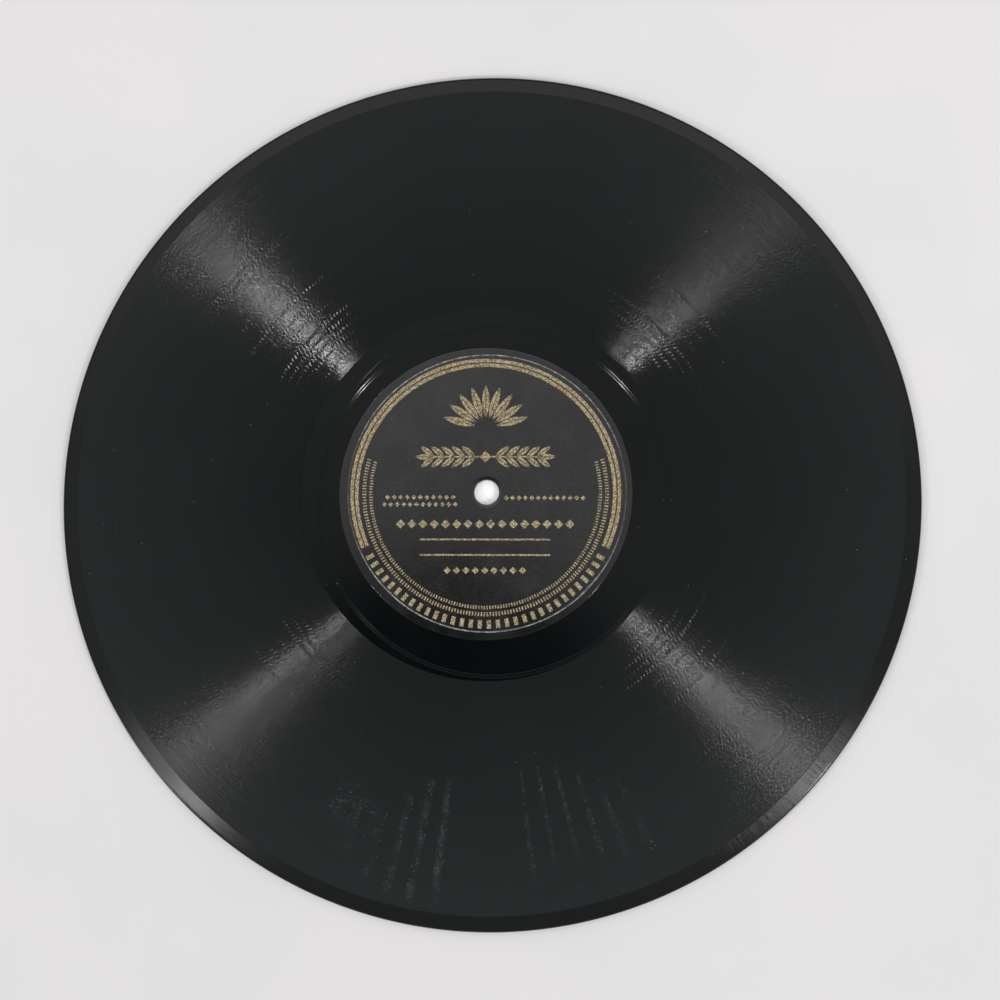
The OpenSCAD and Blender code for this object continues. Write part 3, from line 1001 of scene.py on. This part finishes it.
def buildPrint():
    s = printShape
    half = s["ringOpening"] / 2
    ends = (s["foot"] + half - 360, s["foot"] - half)
    settlePrint("Ring", [putSolids("ring", [arcSolid(*line, *ends) for line in s["ringLines"]])])
    bars = s["bars"]
    middle = (s["ringLines"][0][0] + s["ringLines"][-1][1]) / 2
    first = s["foot"] - bars["step"] * (bars["count"] - 1) / 2
    block = [blockSolid(bars["long"], bars["wide"])]
    settlePrint("Bars", [repeat(block, bars["count"], first, bars["step"], middle)])
    rows = []
    for radius, long, wide, pitch in s["markRows"]:
        step = math.degrees(pitch / radius)
        count = int(s["markSweep"] / step)
        rows.append(repeat([blockSolid(long, wide)], count, s["foot"] - step * (count - 1) / 2, step, radius))
    for first, last, y in s["sideRows"]:
        rows.append(chain(first, last, y, *s["sideMark"]))
    settlePrint("Marks", rows)
    lines = [ruleSolid(-long / 2, long / 2, y, s["ruleWide"]) for long, y, side in s["rules"] if not side]
    rules = [putSolids("rules", lines)]
    for long, y, side in s["rules"]:
        if side:
            rules.append(chain(-long / 2, long / 2, y, side, side * s["chainPitch"]))
    settlePrint("Rules", rules)
    fan = s["fan"]
    step = fan["spread"] / (fan["count"] - 1)
    leaf = leafSolids(fan["long"], fan["wide"])
    settlePrint("Fan", [repeat(leaf, fan["count"], 90 - fan["spread"] / 2, step, fan["from"], (0, fan["y"]))])
    sprig = s["sprig"]
    leaf = leafSolids(sprig["long"], sprig["wide"])
    clear = s["lozenge"] * s["lozengeClear"]
    ways = ((-sprig["stem"], -clear), (clear, sprig["stem"]))
    sprigs = [putSolids("stems", [ruleSolid(*ends, sprig["y"], sprig["stemWide"]) for ends in ways])]
    for way, straight in ((1, 0), (-1, 180)):
        sprigs.append(repeat(leaf, 1, straight, 0, sprig["stem"], (0, sprig["y"])))
        for turn in (sprig["angle"], -sprig["angle"]):
            start = (way * sprig["pitch"], sprig["y"])
            along = (way * sprig["pitch"], 0)
            sprigs.append(repeat(leaf, sprig["pairs"], straight + turn, 0, 0, start, along))
    lozenge = [blockSolid(s["lozenge"], s["lozenge"])]
    sprigs.append(repeat(lozenge, 1, 45, 0, 0, (0, sprig["y"])))
    settlePrint("Sprigs", sprigs)


buildPrint()
print("print made")

# stage
stageLook = {
    "floorSize": 60.0,
    "floorColour": rgb(0.748, 0.735, 0.743),
    "floorMark": rgb(0.715, 0.715, 0.715),
    # painted light: pale colour of the floor under the hole
    "paintedLightInHole": rgb(0.97, 0.96, 0.97),
    "floorCloud": 9.0,
    "floorRoughness": 0.8,
    "floorSpecular": 0.1,
    # radii in mm between which the painted light on the floor under the hole begins
    "paintedLightEdge": (6.0, 4.5),
    # painted shade and light: the floor's colour is darker in front of the record and paler behind it,
    # evening out the light of the lamps in front: y in m and share of the colour
    "paintedShadeFall": (-0.16, 0.16, 0.93, 1.09),
    # radii in mm between which that evens out
    "paintedShadeEven": (250.0, 700.0),
    # painted light: glow of the floor under the hole, seen by the camera only
    "paintedHoleGlow": 0.16,
    "soft": 0.75,
    "backdrop": 0.56,
    "lightColour": rgb(1.0, 0.99, 1.0),
    # the room at the sides, before and behind, and overhead
    "sky": (0.2, 0.24, 0.265),
    # glow of the room at the sides and behind
    "glow": (0.16, 0.52),
    # where each part of the room fades out and in, by height or by direction, as shares of 1
    "horizonFade": (0.25, 0.02),
    "glowFade": ((-0.5, 0.1), (0.3, 0.92)),
    "archFade": ((0.99, 0.9), (0.82, 0.88)),
    "endFade": (0.4, 0.95),
    "overheadFade": (0.78, 0.92),
    "horizon": 0.36,
    # a dark spot overhead, as slopes from straight up, which the label and the land mirror
    "darkCentre": (-0.085, -0.05),
    "darkReach": (0.09, 0.16),
    "darkest": 0.0,
}


def buildFloor():
    look = stageLook
    half = look["floorSize"] / 2
    corners = [(-half, -half, 0), (half, -half, 0), (half, half, 0), (-half, half, 0)]
    material, tree, shader, wires = startMaterial("paleFloor")
    cloud = noise(tree, wires["place"], look["floorCloud"], 4.0)
    colour = mixColour(tree, remap(tree, cloud, 0.35, 0.7), look["floorColour"], look["floorMark"])
    # painted shade: the floor's colour falls towards the front, where the lamps stand
    away = addNode(tree, "ShaderNodeSeparateXYZ", Vector=wires["place"]).outputs[1]
    even = remap(tree, wires["radius"], *look["paintedShadeEven"])
    colour = scaleVector(tree, colour, mixNumber(tree, even, remap(tree, away, *look["paintedShadeFall"]), 1.0))
    paintedLightMask = remap(tree, wires["radius"], *look["paintedLightEdge"])
    colour = mixColour(tree, paintedLightMask, colour, look["paintedLightInHole"])
    tree.links.new(colour, shader.inputs["Base Color"])
    # painted light: the floor under the hole glows for the camera, making up for the disc's shade
    glow = calc(tree, "MULTIPLY", paintedLightMask, tree.nodes.new("ShaderNodeLightPath").outputs["Is Camera Ray"])
    shader.inputs["Emission Color"].default_value = look["paintedLightInHole"]
    tree.links.new(calc(tree, "MULTIPLY", glow, look["paintedHoleGlow"]), shader.inputs["Emission Strength"])
    shader.inputs["Roughness"].default_value = look["floorRoughness"]
    shader.inputs["Specular IOR Level"].default_value = look["floorSpecular"]
    floor = putMesh("floor", corners, [(0, 1, 2, 3)], material)


def buildWorld():
    look = stageLook
    world = bpy.data.worlds.new("studio")
    bpy.context.scene.world = world
    world.use_nodes = True
    tree = world.node_tree
    ground = tree.nodes["Background"]
    toward = tree.nodes.new("ShaderNodeTexCoord").outputs["Generated"]
    parts = addNode(tree, "ShaderNodeSeparateXYZ", Vector=toward)
    up = parts.outputs[2]
    low = remap(tree, up, *look["horizonFade"], 0.0, look["horizon"])
    # 1.001 here and 0.05 below keep the divisions from dividing by nothing
    level = calc(tree, "SQRT", calc(tree, "SUBTRACT", 1.001, calc(tree, "MULTIPLY", up, up)))
    back = calc(tree, "DIVIDE", parts.outputs[1], level)
    glows = [remap(tree, back, *fade, 0.0, glow) for fade, glow in zip(look["glowFade"], look["glow"])]
    behind = calc(tree, "ADD", *glows)
    arch = calc(tree, "MULTIPLY", *[remap(tree, up, *fade) for fade in look["archFade"]])
    sides, ends, overhead = look["sky"]
    middle = remap(tree, calc(tree, "ABSOLUTE", back), *look["endFade"], sides, ends)
    sky = mixNumber(tree, remap(tree, up, *look["overheadFade"]), middle, overhead)
    light = calc(tree, "ADD", calc(tree, "ADD", low, calc(tree, "MULTIPLY", arch, behind)), sky)
    high = calc(tree, "MAXIMUM", up, 0.05)
    spread = []
    for place, middle in enumerate(look["darkCentre"]):
        spread.append(calc(tree, "SUBTRACT", calc(tree, "DIVIDE", parts.outputs[place], high), middle))
    off = calc(tree, "SQRT", calc(tree, "ADD", *[calc(tree, "MULTIPLY", s, s) for s in spread]))
    shade = remap(tree, off, *look["darkReach"], look["darkest"], 1.0)
    # mirrors see the room, the eye a pale backdrop and other rays a plain soft light
    path = tree.nodes.new("ShaderNodeLightPath").outputs
    mirrored = calc(tree, "MAXIMUM", path["Is Glossy Ray"], path["Is Transmission Ray"])
    strength = mixNumber(tree, mirrored, look["soft"], calc(tree, "MULTIPLY", light, shade))
    strength = mixNumber(tree, path["Is Camera Ray"], strength, look["backdrop"])
    tree.links.new(strength, ground.inputs["Strength"])
    ground.inputs["Color"].default_value = look["lightColour"]


# lamps: direction round the disc and angle from straight up in degrees, distance, width and height in m,
# and brightness
lamps = {
    "leftLamp": (213.3, 55.6, 0.75, 0.018, 0.08, 157.0),
    "leftSideLamp": (218.2, 54.0, 0.75, 0.022, 0.08, 37.0),
    "rightLamp": (322.7, 48.5, 0.75, 0.018, 0.07, 97.0),
    "upperRightLamp": (322.7, 41.5, 0.75, 0.018, 0.1, 142.0),
    "rightSideLamp": (318.4, 52.0, 0.75, 0.022, 0.1, 32.0),
    "leftMarginLamp": (213.4, 28.2, 0.8, 0.02, 0.05, 22.0),
    "leftGlowLamp": (208.8, 28.2, 0.8, 0.1, 0.05, 4.0),
    "rightMarginLamp": (324.0, 23.6, 0.793, 0.055, 0.05, 12.0),
}


def buildLamps():
    for name, (around, fromUp, away, wide, tall, bright) in lamps.items():
        data = bpy.data.lights.new(name, "AREA")
        data.shape = "RECTANGLE"
        data.size = wide
        data.size_y = tall
        data.energy = bright * math.pi * wide * tall
        piece = bpy.data.objects.new(name, data)
        turn = math.radians(around)
        lean = math.radians(fromUp)
        toward = Vector((math.sin(lean) * math.cos(turn), math.sin(lean) * math.sin(turn), math.cos(lean)))
        piece.location = toward * away
        piece.rotation_euler = toward.to_track_quat("Z", "Y").to_euler()
        bpy.context.scene.collection.objects.link(piece)


# camera: tilt about X and Y in radians, shift and distance in mm, lens in frame widths
cameraFit = {
    "tiltX": -0.10828,
    "tiltY": -0.0509,
    "right": -3.82,
    "up": 2.055,
    "away": 451.35,
    "lens": 1.54245,
    "sensor": 36.0,
    # what the camera can see, in m
    "clip": (0.01, 50.0),
}


def buildCamera():
    fit = cameraFit
    data = bpy.data.cameras.new("camera")
    data.sensor_width = fit["sensor"]
    data.lens = fit["lens"] * data.sensor_width
    data.clip_start, data.clip_end = fit["clip"]
    turned = (Matrix.Rotation(fit["tiltY"], 3, "Y") @ Matrix.Rotation(fit["tiltX"], 3, "X")).transposed()
    camera = bpy.data.objects.new("camera", data)
    camera.matrix_world = turned.to_4x4()
    camera.location = turned @ Vector((-fit["right"], -fit["up"], fit["away"])) * mm
    bpy.context.scene.collection.objects.link(camera)
    bpy.context.scene.camera = camera


buildFloor()
buildWorld()
buildLamps()
buildCamera()
bpy.context.scene.view_settings.view_transform = "Standard"
print("stage, lamps and camera made")
